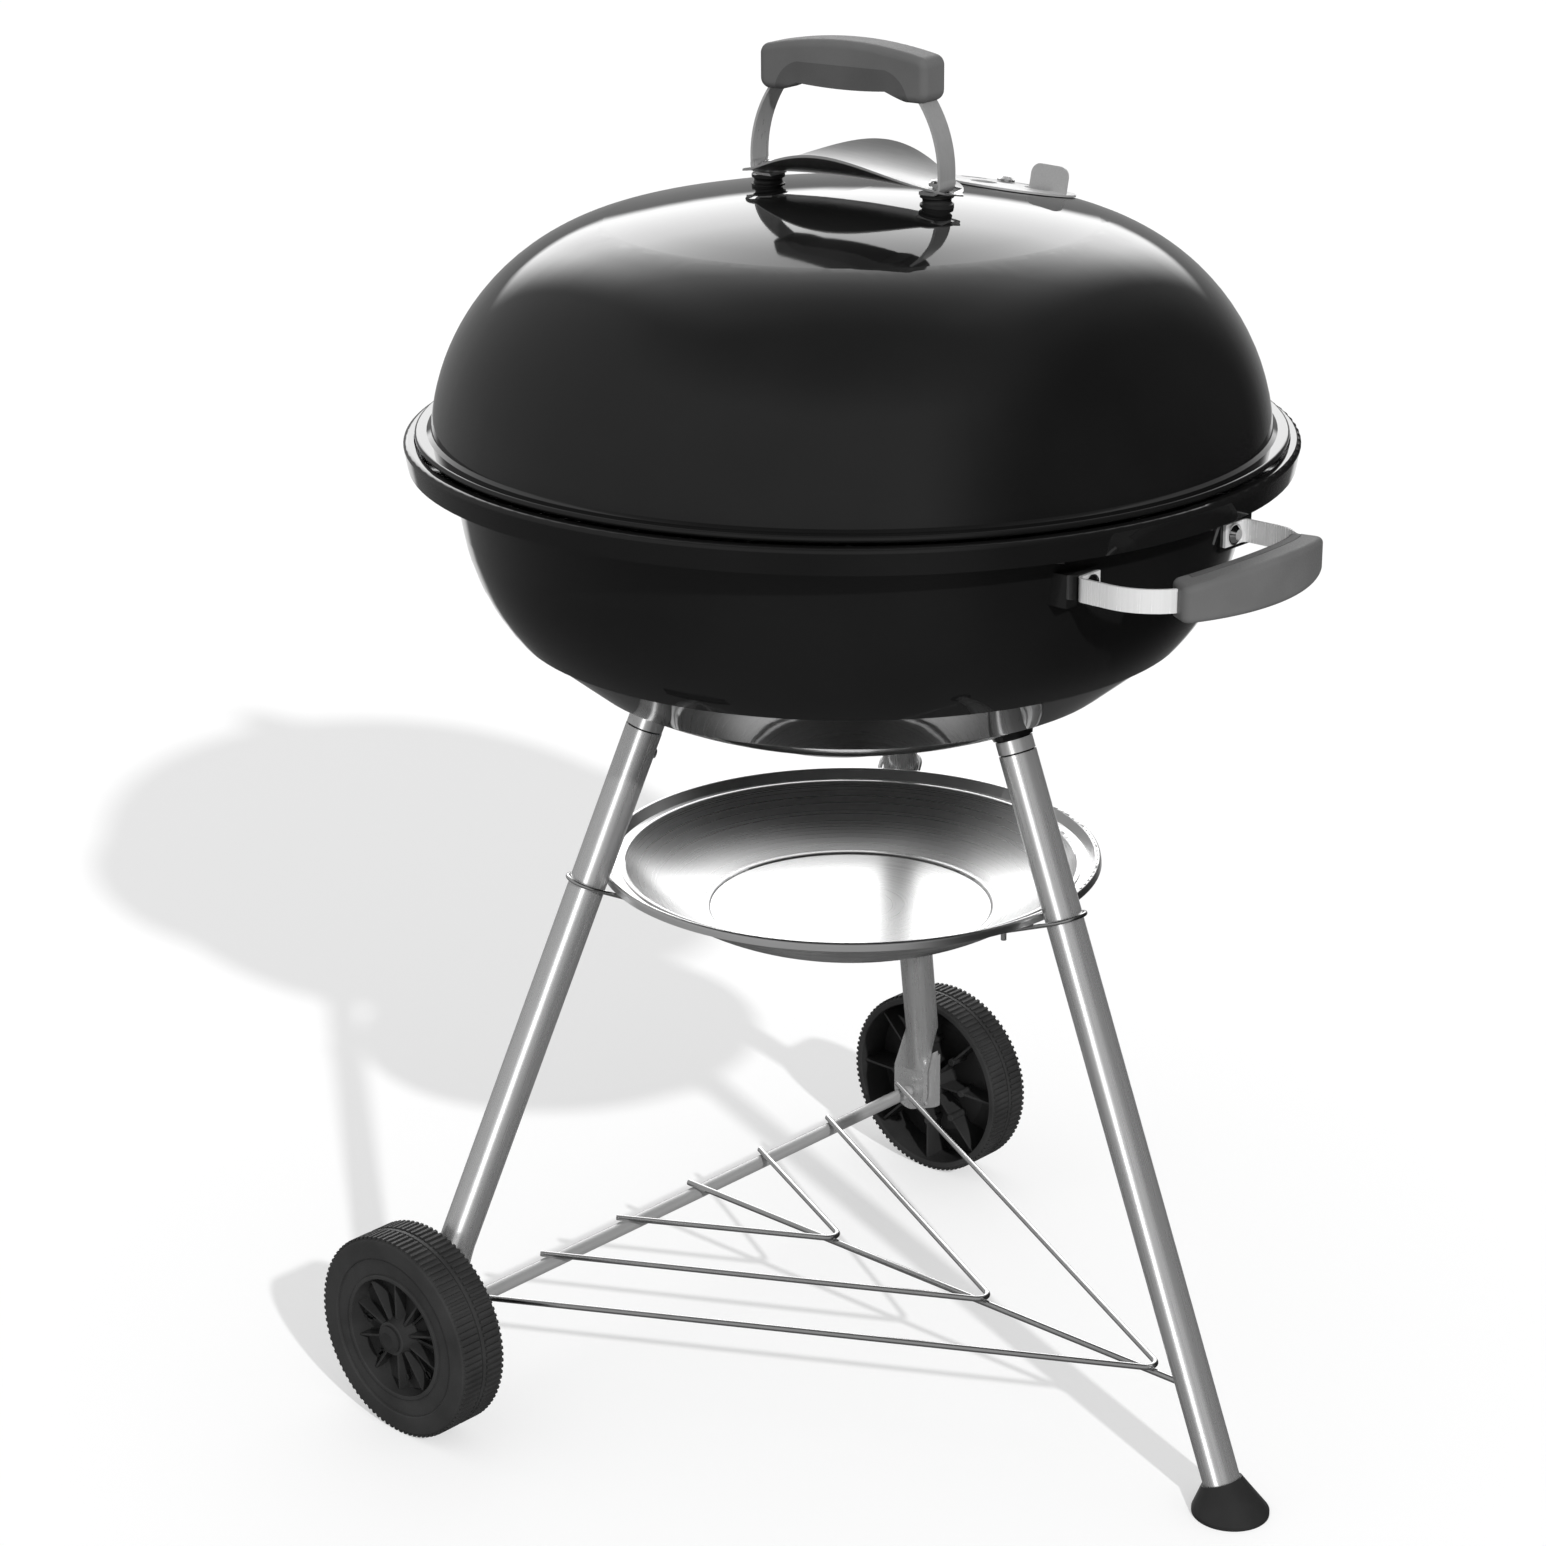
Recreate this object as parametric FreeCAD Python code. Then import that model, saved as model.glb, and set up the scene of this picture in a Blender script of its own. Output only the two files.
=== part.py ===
"""Kettle charcoal grill on three tube legs with two wheels, a wire rack and an ash pan.

Frame: millimetres, +Z up, floor at Z = 0. The foot leg and the bowl handle point to -Y, and the
axle lies along X at +Y. The origin is the middle of the object's base. Everything is drawn round
the kettle's own axis and moved by AXIS_Y when it is exported.
"""
import FreeCAD, Part
import math
import os

V = FreeCAD.Vector

# ---- driving dimensions -------------------------------------------------------------------
SHEET = 2.0                 # enamelled sheet of bowl and lid
RIM_RADIUS = 295.0          # outside of the bowl's rolled lip
RIM_TOP = 685.0             # top of the lip
RIM_SKIRT = 17.0            # height of the lip's skirt
SKIRT_TUCK = 2.5            # how far the skirt leans in at its bottom edge

BOWL_CAP_RADIUS = 380.0     # round bottom of the bowl
BOWL_BOTTOM = 476.0         # lowest point of the bowl
LOWER_CREASE = V(180.5, 0, 522.0)
UPPER_CREASE = V(225.7, 0, 557.0)
CREASE_STEP = 1.8
WALL_RADIUS = 138.6         # shoulder between the creases and the straight wall
WALL_BEND = V(258.0, 0, 625.0)
WALL_TOP = V(265.6, 0, 673.0)

LID_APEX = 841.4
LID_CROWN_RADIUS = 732.1
LID_SHOULDER_RADIUS = 148.9
LID_SHOULDER_CENTRE = V(128.4, 0, 678.2)
LID_BOTTOM = 686.0
LID_BEAD_RADIUS = 287.5

TUBE_RADIUS = 12.7
TUBE_WALL = 1.2
LEG_RADIUS_AT_TOP = 145.5   # leg axis from the kettle axis at LEG_TOP
LEG_TOP = 490.0
LEG_SLOPE = 0.391           # outward run per unit of drop
LEG_TURN = 120.0

FOOT_RADIUS = 25.9
FOOT_HEIGHT = 20.5
FOOT_REACH = LEG_RADIUS_AT_TOP + LEG_SLOPE * LEG_TOP

WHEEL_RADIUS = 73.0
WHEEL_WIDTH = 37.6
WHEEL_FACE = 301.1          # outer sidewall from the middle
WHEEL_Y = 153.8
HUB_RADIUS = 12.0
HUB_STEP = 1.5              # hub beyond the sidewall
DISH_RADIUS = 42.5          # mouth of the outer dish
DISH_DEPTH = 12.0
PANEL = (46.0, 57.0, 1.6)   # sunk ring in the sidewall: from, to, depth
WHEEL_BACK = 4.0            # inner end of the hub from the wheel's inner face
SPOKES = 10
RIBS = 8
AXLE_RADIUS = 4.0
RUNNING_GAP = 0.05
SLEEVE_RADIUS = 5.0
SLEEVE_HALF = 243.0

PAN_RADIUS = 172.0
PAN_TOP = 385.5
PAN_FLOOR = 345.0
PAN_SHEET = 1.2

RACK_WIRE = 2.1
RACK_CENTRE_WIRE = 2.3
RACK_ENDS = {"outer": (237.5, -270.0), "middle": (154.0, -125.0), "inner": (77.0, 14.0)}

COOKING_RADIUS = 255.0
COOKING_Z = 650.0
CHARCOAL_RADIUS = 199.0
CHARCOAL_Z = 568.0

HANDLE_TURN = -83.0         # direction of the lid handle
HANDLE_FOOT = 66.0          # screws from the kettle axis
BAND_WIDTH = 18.0
BAND_SHEET = 2.0

DAMPER_TURN = -8.0          # lid damper's direction
DAMPER_REACH = 136.0
DAMPER_RADIUS = 48.0
BOWL_DAMPER_REACH = 62.0
BOWL_DAMPER_RADIUS = 38.0
BOWL_TAB_TURN = 135.0       # tab from the damper's outward direction, seen from below
DAMPER_SHEET = 1.4
DAMPER_TAB_TURN = -78.0     # the lid damper's tab from the damper's own direction
LID_VENTS = 26.0            # circle of the lid's vents
LID_VENT_RADIUS = 9.0
BOWL_VENTS = 22.0
BOWL_VENT_RADIUS = 8.0
RIVET_RADIUS = 3.0
SHUT_TURN = 45.0            # vents from a damper's own holes, which leaves it shut as drawn
CLEAR = 0.4                 # gap under a turning plate

AXIS_Y = (FOOT_REACH + FOOT_RADIUS - RIM_RADIUS) / 2
Z_AXIS = V(0, 0, 1)
ORIGIN = V(0, 0, 0)


# ---- helpers ------------------------------------------------------------------------------
def polar(radius, degrees, z=0.0):
    angle = math.radians(degrees)
    return V(radius * math.cos(angle), radius * math.sin(angle), z)


def turned(shape, degrees, centre=ORIGIN, axis=Z_AXIS):
    copy = shape.copy()
    copy.rotate(centre, axis, degrees)
    return copy


def mirrored(shape):
    return shape.mirror(ORIGIN, V(1, 0, 0))


def fused(shapes):
    whole = shapes[0].multiFuse(shapes[1:]) if len(shapes) > 1 else shapes[0]
    return whole.removeSplitter()


def rod(start, end, radius):
    return Part.makeCylinder(radius, (end - start).Length, start, end - start)


def outline(*parts):
    """Closed wire from points and (middle, end) pairs, where a pair is an arc to its end."""
    edges = []
    here = parts[0]
    for part in list(parts[1:]) + [parts[0]]:
        if isinstance(part, tuple):
            edges.append(Part.Arc(here, part[0], part[1]).toShape())
            here = part[1]
        elif (part - here).Length > 1e-6:
            edges.append(Part.makeLine(here, part))
            here = part
    return Part.Wire(edges)


def spun(*parts):
    """Solid of revolution about the kettle axis, from an outline in the XZ plane."""
    return Part.Face(outline(*parts)).revolve(ORIGIN, Z_AXIS, 360)


def arc_middle(centre, radius, first, last):
    """Point half way along an arc in the XZ plane, between two angles from +Z."""
    angle = (first + last) / 2
    return centre + V(radius * math.sin(angle), 0, radius * math.cos(angle))


def rounded_path(points, radius):
    """Wire of straight runs joined by tangent arcs of one radius."""
    edges = []
    here = points[0]
    for corner, after in zip(points[1:-1], points[2:]):
        back = (here - corner).normalize()
        ahead = (after - corner).normalize()
        half = back.getAngle(ahead) / 2
        reach = radius / math.tan(half)
        middle = corner + (back + ahead).normalize() * (radius / math.sin(half) - radius)
        start, end = corner + back * reach, corner + ahead * reach
        edges.append(Part.makeLine(here, start))
        edges.append(Part.Arc(start, middle, end).toShape())
        here = end
    edges.append(Part.makeLine(here, points[-1]))
    return Part.Wire(edges)


def bent_rod(points, bend, radius):
    path = rounded_path(points, bend)
    ring = Part.Wire(Part.makeCircle(radius, points[0], points[1] - points[0]))
    return path.makePipeShell([ring], True, False)


def placed_on_dome(shape, tilt, turn, reach, height):
    """Moves a shape drawn at the origin, along +Z, to a place on a round surface."""
    shape = turned(shape, tilt, ORIGIN, V(0, 1, 0))
    shape.translate(V(reach, 0, height))
    return turned(shape, turn)


def prism(wire, direction):
    return Part.Face(wire).extrude(direction)


def edges_along(shape, axis):
    """Edges that start out along an axis."""
    return [edge for edge in shape.Edges if abs(edge.tangentAt(edge.FirstParameter).dot(axis)) > 0.9]


def edges_across(shape, axis):
    """Edges that start out square to an axis, or nearly so."""
    return [edge for edge in shape.Edges if abs(edge.tangentAt(edge.FirstParameter).dot(axis)) < 0.6]


# ---- bowl ---------------------------------------------------------------------------------
CAP_CENTRE = V(0, 0, BOWL_BOTTOM + BOWL_CAP_RADIUS)


def wall_centre():
    """Centre of the shoulder arc, which is tangent to the straight wall at WALL_BEND."""
    along = (WALL_TOP - WALL_BEND).normalize()
    return WALL_BEND + V(-along.z, 0, along.x) * WALL_RADIUS


def on_circle(centre, radius, x):
    """Lower point of a circle in the XZ plane, at a given X."""
    return V(x, 0, centre.z - math.sqrt(radius ** 2 - (x - centre.x) ** 2))


def bowl_skin(depth):
    """Solid bounded by the bowl's outer skin, moved in by depth, and a flat top."""
    cap = BOWL_CAP_RADIUS - depth
    wall = WALL_RADIUS - depth
    centre = wall_centre()
    cap_end = on_circle(CAP_CENTRE, cap, LOWER_CREASE.x - CREASE_STEP - depth)
    cap_mid = on_circle(CAP_CENTRE, cap, cap_end.x * 0.5)
    wall_start = on_circle(centre, wall, UPPER_CREASE.x - depth)
    bend = centre + (WALL_BEND - centre).normalize() * wall
    wall_mid = centre + ((wall_start + bend) * 0.5 - centre).normalize() * wall
    low = [LOWER_CREASE, UPPER_CREASE - V(CREASE_STEP, 0, 0.6)] if depth == 0 else []
    top = WALL_TOP - V(depth, 0, 0)
    return spun(V(0, 0, CAP_CENTRE.z - cap), (cap_mid, cap_end), *low, wall_start, (wall_mid, bend),
                top, V(0, 0, top.z))


def bowl_lip():
    """Gutter that carries the lid, rolled over into a skirt."""
    skirt = RIM_TOP - RIM_SKIRT
    corner = V(RIM_RADIUS - 0.9, 0, RIM_TOP - 0.9)
    return spun(V(WALL_TOP.x - SHEET, 0, WALL_TOP.z - 1), V(WALL_TOP.x - SHEET, 0, WALL_TOP.z + 2),
                V(RIM_RADIUS - 7, 0, RIM_TOP), V(RIM_RADIUS - 3, 0, RIM_TOP),
                (corner, V(RIM_RADIUS, 0, RIM_TOP - 3)),
                V(RIM_RADIUS - SKIRT_TUCK, 0, skirt), V(RIM_RADIUS - SKIRT_TUCK - SHEET, 0, skirt),
                V(RIM_RADIUS - SHEET, 0, RIM_TOP - 3),
                V(RIM_RADIUS - 7, 0, RIM_TOP - SHEET - 0.5), V(WALL_TOP.x, 0, WALL_TOP.z - 1))


def bowl_damper_tilt():
    return math.degrees(math.asin(BOWL_DAMPER_REACH / BOWL_CAP_RADIUS))


def on_bowl_bottom(shape, turn):
    """A shape drawn with the bowl's skin at the origin and +Z into the bowl."""
    z = on_circle(CAP_CENTRE, BOWL_CAP_RADIUS, BOWL_DAMPER_REACH).z
    return placed_on_dome(shape, -bowl_damper_tilt(), turn, BOWL_DAMPER_REACH, z)


def vent_holes(count, circle, radius, first=0.0):
    """Cutters for a ring of round vents, drawn at the origin."""
    return [Part.makeCylinder(radius, 30, polar(circle, first + 360 * i / count, -15)) for i in range(count)]


def rivet_hole():
    return Part.makeCylinder(RIVET_RADIUS, 30, V(0, 0, -15))


BOWL_DAMPERS = {"back": 90, "left": 210, "right": 330}


def bowl():
    shell = bowl_skin(0).cut(bowl_skin(SHEET)).fuse(bowl_lip()).removeSplitter()
    cutters = []
    for turn in BOWL_DAMPERS.values():
        for hole in vent_holes(4, BOWL_VENTS, BOWL_VENT_RADIUS, BOWL_TAB_TURN + SHUT_TURN) + [rivet_hole()]:
            cutters.append(on_bowl_bottom(hole, turn))
    return shell.cut(cutters)


# ---- lid ----------------------------------------------------------------------------------
def crown_angle():
    """Angle from +Z where the lid's crown meets its shoulder."""
    drop = LID_SHOULDER_CENTRE.z - (LID_APEX - LID_CROWN_RADIUS)
    return math.atan2(LID_SHOULDER_CENTRE.x, drop)


def lid_skin(depth):
    crown = LID_CROWN_RADIUS - depth
    shoulder = LID_SHOULDER_RADIUS - depth
    centre = V(0, 0, LID_APEX - LID_CROWN_RADIUS)
    join = crown_angle()
    bottom = math.acos((LID_BOTTOM - LID_SHOULDER_CENTRE.z) / shoulder)
    start = centre + V(crown * math.sin(join), 0, crown * math.cos(join))
    end = LID_SHOULDER_CENTRE + V(shoulder * math.sin(bottom), 0, shoulder * math.cos(bottom))
    return spun(V(0, 0, LID_BOTTOM), V(0, 0, LID_APEX - depth),
                (arc_middle(centre, crown, 0, join), start),
                (arc_middle(LID_SHOULDER_CENTRE, shoulder, join, bottom), end))


def lid_bead():
    """Flange round the lid's mouth, with a rounded edge."""
    inner = LID_SHOULDER_CENTRE.x + LID_SHOULDER_RADIUS - SHEET + 0.2
    edge = V(LID_BEAD_RADIUS, 0, LID_BOTTOM + 2.2)
    return spun(V(inner, 0, LID_BOTTOM), V(LID_BEAD_RADIUS - 2, 0, LID_BOTTOM),
                (edge, V(LID_BEAD_RADIUS - 2, 0, LID_BOTTOM + 4.4)),
                V(inner + 4, 0, LID_BOTTOM + 4.4), V(inner + 1, 0, LID_BOTTOM + 6))


def damper_tilt():
    return math.degrees(math.asin(DAMPER_REACH / LID_CROWN_RADIUS))


def crown_height(reach):
    return LID_APEX - LID_CROWN_RADIUS + math.sqrt(LID_CROWN_RADIUS ** 2 - reach ** 2)


def on_lid(shape):
    return placed_on_dome(shape, damper_tilt(), DAMPER_TURN, DAMPER_REACH, crown_height(DAMPER_REACH))


def at_handle_feet(make):
    """The same piece under both ends of the lid handle."""
    return [turned(make(), HANDLE_TURN), turned(make(), HANDLE_TURN + 180)]


def handle_screw_hole():
    return Part.makeCylinder(SCREW_HOLE, 60, V(HANDLE_FOOT, 0, 810))


def lid():
    shell = lid_skin(0).cut(lid_skin(SHEET)).fuse(lid_bead()).removeSplitter()
    vents = vent_holes(4, LID_VENTS, LID_VENT_RADIUS, DAMPER_TAB_TURN + SHUT_TURN)
    cutters = [on_lid(hole) for hole in vents + [rivet_hole()]]
    cutters += at_handle_feet(handle_screw_hole)
    return shell.cut(cutters)


def curved_disc(sphere, radius, gap, sheet):
    """Disc that follows a sphere's skin, drawn with the skin's top at the origin."""
    centre = V(0, 0, -sphere)
    inner, outer = sphere + gap, sphere + gap + sheet
    edge_in, edge_out = math.asin(radius / inner), math.asin(radius / outer)
    upper = centre + V(radius, 0, outer * math.cos(edge_out))
    lower = centre + V(radius, 0, inner * math.cos(edge_in))
    return spun(V(0, 0, gap), V(0, 0, gap + sheet), (arc_middle(centre, outer, 0, edge_out), upper),
                lower, (arc_middle(centre, inner, 0, edge_in), V(0, 0, gap)))


def lid_damper():
    """Disc with four vents and an upright thumb tab."""
    disc = curved_disc(LID_CROWN_RADIUS, DAMPER_RADIUS, CLEAR, DAMPER_SHEET)
    disc = disc.cut(vent_holes(4, LID_VENTS, LID_VENT_RADIUS) + [turning_hole()])
    near, far, height, corner = 17.0, 46.5, 18.0, 7.0
    knee = corner * 0.293
    face = outline(V(near, 0, 0.6), V(near, 0, height - corner),
                   (V(near + knee, 0, height - knee), V(near + corner, 0, height)), V(far - corner, 0, height),
                   (V(far - knee, 0, height - knee), V(far, 0, height - corner)), V(far, 0, 0.2))
    tab = prism(face, V(0, 1.6, 0))
    tab.translate(V(0, 3, 0))
    return on_lid(turned(disc.fuse(tab).removeSplitter(), DAMPER_TAB_TURN))


def turning_hole():
    return Part.makeCylinder(RIVET_RADIUS + RUNNING_GAP, 30, V(0, 0, -15))


def rivet():
    """Rivet along +Z with a domed head above a turning plate, and a head behind the sheet."""
    low, high = -SHEET - 0.1, CLEAR + DAMPER_SHEET + 0.5
    shank = Part.makeCylinder(RIVET_RADIUS, high - low + 1, V(0, 0, low))
    head = Part.makeCylinder(6, 1.4, V(0, 0, high)).fuse(Part.makeCone(6, 3.5, 1.6, V(0, 0, high + 1.4)))
    back = Part.makeCylinder(6, 1.6, V(0, 0, low - 1.6))
    return fused([shank, head, back])


def lid_damper_rivet():
    return on_lid(rivet())


def lid_hook():
    """Bent strip inside the lid that hangs it on the bowl's edge."""
    z = crown_height(40) - SHEET
    tip = V(150, 0, z - 38)
    strip = rounded_path([tip, V(150, 0, z - 24), V(120, 0, z - 17), V(104, 0, z - 9), V(86, 0, z - 8)], 6)
    corners = [tip + V(x, y, 0) for x, y in ((-1, -6), (1, -6), (1, 6), (-1, 6), (-1, -6))]
    band = strip.makePipeShell([Part.makePolygon(corners)], True, False)
    post = Part.makeCylinder(5, 20, V(90, 0, z - 9)).common(lid_skin(SHEET + 0.2))
    return turned(band.fuse(post).removeSplitter(), 97)


# ---- lid handle ---------------------------------------------------------------------------
SPACER_TOP = 846.0
SPACER_RADIUS = 11.0
BAND_TOP = 915.0            # middle of the band where it crosses inside the grip
GRIP_HALF = 64.5
GRIP_WIDTH = 26.0
GRIP_BOTTOM = 903.5
GRIP_SHOULDER = 931.5       # top of the grip at its ends
GRIP_TOP = 939.0
RIB_PITCH = 4.6
SCREW_RADIUS = 2.95
SCREW_HOLE = 3.0


def band_path():
    """The band's middle line, from one foot over the grip to the other, in the XZ plane."""
    foot = SPACER_TOP + BAND_SHEET / 2
    edges = []
    for side in (1, -1):
        low, high = V(side * 73, 0, 855), V(side * 57.5, 0, 905)
        edges.append([Part.makeLine(V(side * 58, 0, foot), V(side * 69, 0, foot)),
                      Part.Arc(V(side * 69, 0, foot), V(side * 72.2, 0, 849.3), low).toShape(),
                      Part.Arc(low, V(side * 69, 0, 883), high).toShape(),
                      Part.Arc(high, V(side * 54, 0, 911), V(side * 46, 0, BAND_TOP)).toShape()])
    across = Part.makeLine(V(46, 0, BAND_TOP), V(-46, 0, BAND_TOP))
    return Part.Wire(edges[0] + [across] + edges[1][::-1])


def band_blank():
    start = V(58, 0, SPACER_TOP)
    half = BAND_WIDTH / 2
    corners = [start + V(0, y, z) for y, z in ((-half, 0), (half, 0), (half, BAND_SHEET), (-half, BAND_SHEET))]
    return band_path().makePipeShell([Part.makePolygon(corners + corners[:1])], True, False)


def lid_handle_strap():
    holes = [turned(handle_screw_hole(), turn) for turn in (0, 180)]
    return turned(band_blank().cut(holes), HANDLE_TURN)


def side_prism(half_width, *parts):
    """Prism across the handle, from an outline in the XZ plane."""
    wire = outline(*parts)
    wire.translate(V(0, -half_width, 0))
    return prism(wire, V(0, 2 * half_width, 0))


def finger_recess():
    """Cutter for the hollow that the fingers close round, with a lobe at either side."""
    low = GRIP_BOTTOM - 0.1
    return side_prism(30, V(-51, 0, low - 12), V(-49, 0, low), (V(-42, 0, 906.5), V(-34, 0, 909.5)),
                      (V(0, 0, 908), V(34, 0, 909.5)), (V(42, 0, 906.5), V(49, 0, low)), V(51, 0, low - 12))


def grip_block():
    """Whole grip: arched on top, rounded all round, and hollowed below for the fingers."""
    block = side_prism(GRIP_WIDTH / 2, V(-GRIP_HALF, 0, GRIP_BOTTOM), V(-GRIP_HALF, 0, GRIP_SHOULDER),
                       (V(0, 0, GRIP_TOP), V(GRIP_HALF, 0, GRIP_SHOULDER)), V(GRIP_HALF, 0, GRIP_BOTTOM))
    block = block.makeFillet(7.0, edges_along(block, V(0, 1, 0)))
    block = block.makeFillet(5.0, edges_across(block, V(0, 1, 0)))
    return block.cut(finger_recess())


def insert_zone():
    """Space of the finger pad, under a low arch."""
    return side_prism(30, V(-51, 0, 895), (V(-46, 0, 916), V(-34, 0, 923)), V(34, 0, 923),
                      (V(46, 0, 916), V(51, 0, 895)))


def lid_handle_grip():
    return turned(grip_block().cut([insert_zone(), band_blank()]), HANDLE_TURN)


def lid_handle_insert():
    """Softer finger pad under the grip, with a row of slanted grooves."""
    pad = grip_block().common(insert_zone()).cut(band_blank())
    grooves = []
    for i in range(14):
        start = V(RIB_PITCH * (i - 6.5) - 6, -20, 905.4)
        grooves.append(Part.makeCylinder(1.2, 42, start, V(0.3, 1, 0)))
    return turned(pad.cut(grooves), HANDLE_TURN)


def lid_handle_spacer():
    """Waisted disc between the lid and the band's foot."""
    z = crown_height(HANDLE_FOOT + SPACER_RADIUS) - 1
    body = Part.makeCylinder(SPACER_RADIUS, SPACER_TOP - z, V(HANDLE_FOOT, 0, z))
    waist = Part.makeTorus(SPACER_RADIUS + 0.5, 2.2, V(HANDLE_FOOT, 0, z + 5.6))
    return body.cut([waist, handle_screw_hole(), lid_skin(0)])


SHIELD_MIDDLE = 852.0
SHIELD_LENGTH_RADIUS = 700.0
SHIELD_CROSS_RADIUS = 52.0
SHIELD_SHEET = 1.2
SHIELD_HALF_LENGTH = 86.0
SHIELD_HALF_WIDTH = 38.0
SHIELD_END_RADIUS = 17.0
SLOT_NEAR, SLOT_FAR = 69.5, 78.5


def shield_height(s):
    return SHIELD_MIDDLE - s * s / (2 * SHIELD_LENGTH_RADIUS)


def shield_sheet():
    """Saddle: curled up across its width, and arched down along its length."""
    inner, outer = SHIELD_CROSS_RADIUS - SHIELD_SHEET / 2, SHIELD_CROSS_RADIUS + SHIELD_SHEET / 2
    spread = math.radians(50)
    centre = V(0, 0, SHIELD_MIDDLE + SHIELD_CROSS_RADIUS)

    def low(radius, angle):
        return centre + V(0, radius * math.sin(angle), -radius * math.cos(angle))

    section = outline(low(outer, -spread), (low(outer, 0), low(outer, spread)), low(inner, spread),
                      (low(inner, 0), low(inner, -spread)))
    pivot = V(0, 0, SHIELD_MIDDLE - SHIELD_LENGTH_RADIUS)
    return turned(Part.Face(section), -9, pivot, V(0, 1, 0)).revolve(pivot, V(0, 1, 0), 18)


def heat_shield():
    """Leaf of saddle-shaped sheet, with slots for the band and holes for the screws."""
    long, wide = SHIELD_HALF_LENGTH, SHIELD_HALF_WIDTH
    left, right = V(-long, 0, 800), V(long, 0, 800)
    leaf = prism(outline(left, (V(0, -wide, 800), right), (V(0, wide, 800), left)), V(0, 0, 120))
    ends = [Part.makeCylinder(SHIELD_END_RADIUS, 120, V(side * HANDLE_FOOT, 0, 800)) for side in (1, -1)]
    plate = shield_sheet().common(leaf.multiFuse(ends).removeSplitter())
    slot = Part.makeBox(SLOT_FAR - SLOT_NEAR, BAND_WIDTH + 2, 40, V(SLOT_NEAR, -BAND_WIDTH / 2 - 1, 840))
    cutters = [turned(cutter, turn) for cutter in (slot, handle_screw_hole()) for turn in (0, 180)]
    return turned(plate.cut(cutters), HANDLE_TURN)


def lid_handle_screw():
    """Slotted screw down through the shield, the band, the spacer and the lid."""
    low, top = 826.0, shield_height(HANDLE_FOOT) + 2.4
    shank = Part.makeCylinder(SCREW_RADIUS, top - low, V(HANDLE_FOOT, 0, low))
    head = Part.makeCylinder(5.5, 2.0, V(HANDLE_FOOT, 0, top))
    crown = Part.makeCone(5.5, 3.6, 1.4, V(HANDLE_FOOT, 0, top + 2))
    slot = Part.makeBox(1.2, 12, 3, V(HANDLE_FOOT - 0.6, -6, top + 2.2))
    return fused([shank, head, crown]).cut(slot)


def lid_handle_nut():
    top = crown_height(HANDLE_FOOT + 6) - SHEET - 0.2
    corners = [V(HANDLE_FOOT, 0, top - 5) + polar(10 / math.sqrt(3), 60 * i) for i in range(7)]
    nut = prism(Part.makePolygon(corners), V(0, 0, 5))
    return nut.cut(Part.makeCylinder(SCREW_RADIUS, 20, V(HANDLE_FOOT, 0, top - 12)))


# ---- bowl handle --------------------------------------------------------------------------
BOWL_HANDLE_TURN = 0.8      # the handle sits a little off the foot leg's direction
ARM_X = 87.5
ARM_ROOT = -255.0           # middle of the arms' feet, which lie along the bowl
ARM_FOOT = 66.0             # inner end of a foot
ARM_BOLT = 75.0
ARM_CORNER = 4.0
ARM_Z = 642.0
ARM_HEIGHT = 15.0
GRIP_ARC = 136.6            # bow of the grip, seen from above
GRIP_FRONT = -332.5         # middle line of the grip at X = 0
BEND_RADIUS = 42.7


def arm_path(z):
    """Middle line of the bowl handle's band: foot, arm, bend, bowed grip, bend, arm, foot."""
    centre = V(0, GRIP_FRONT + GRIP_ARC, z)
    spread = math.asin((ARM_X - BEND_RADIUS) / (GRIP_ARC - BEND_RADIUS))
    bend_centre_y = centre.y - (GRIP_ARC - BEND_RADIUS) * math.cos(spread)
    edges, ends = [], []
    for side in (1, -1):
        bend = V(side * (ARM_X - BEND_RADIUS), bend_centre_y, z)
        start = bend + V(side * BEND_RADIUS, 0, 0)
        end = bend + V(side * BEND_RADIUS * math.sin(spread), -BEND_RADIUS * math.cos(spread), 0)
        turn = (math.pi / 2 + spread) / 2
        middle = bend + V(side * BEND_RADIUS * math.sin(turn), -BEND_RADIUS * math.cos(turn), 0)
        heel = V(side * (ARM_X - ARM_CORNER), ARM_ROOT, z)
        toe = V(side * ARM_X, ARM_ROOT - ARM_CORNER, z)
        knee = V(side * (ARM_X - ARM_CORNER * 0.293), ARM_ROOT - ARM_CORNER * 0.293, z)
        edges.append([Part.makeLine(V(side * ARM_FOOT, ARM_ROOT, z), heel),
                      Part.Arc(heel, knee, toe).toShape(),
                      Part.makeLine(toe, start),
                      Part.Arc(start, middle, end).toShape()])
        ends.append(end)
    bow = Part.Arc(ends[0], V(0, GRIP_FRONT, z), ends[1]).toShape()
    return Part.Wire(edges[0] + [bow] + edges[1][::-1])


def arm_band():
    start = V(ARM_FOOT, ARM_ROOT, ARM_Z)
    half = ARM_HEIGHT / 2
    thick = BAND_SHEET / 2
    corners = [start + V(0, y, z) for y, z in ((-thick, -half), (thick, -half), (thick, half), (-thick, half))]
    return arm_path(ARM_Z).makePipeShell([Part.makePolygon(corners + corners[:1])], True, False)


def arm_bolt_hole(side):
    return Part.makeCylinder(3, 30, V(side * ARM_BOLT, ARM_ROOT - 10, ARM_Z), V(0, 1, 0))


def bowl_wall():
    return bowl_skin(0).fuse(Part.makeCylinder(WALL_TOP.x, 5, V(0, 0, WALL_TOP.z)))


def bowl_handle_strap():
    return arm_band().cut([arm_bolt_hole(side) for side in (1, -1)])


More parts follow.
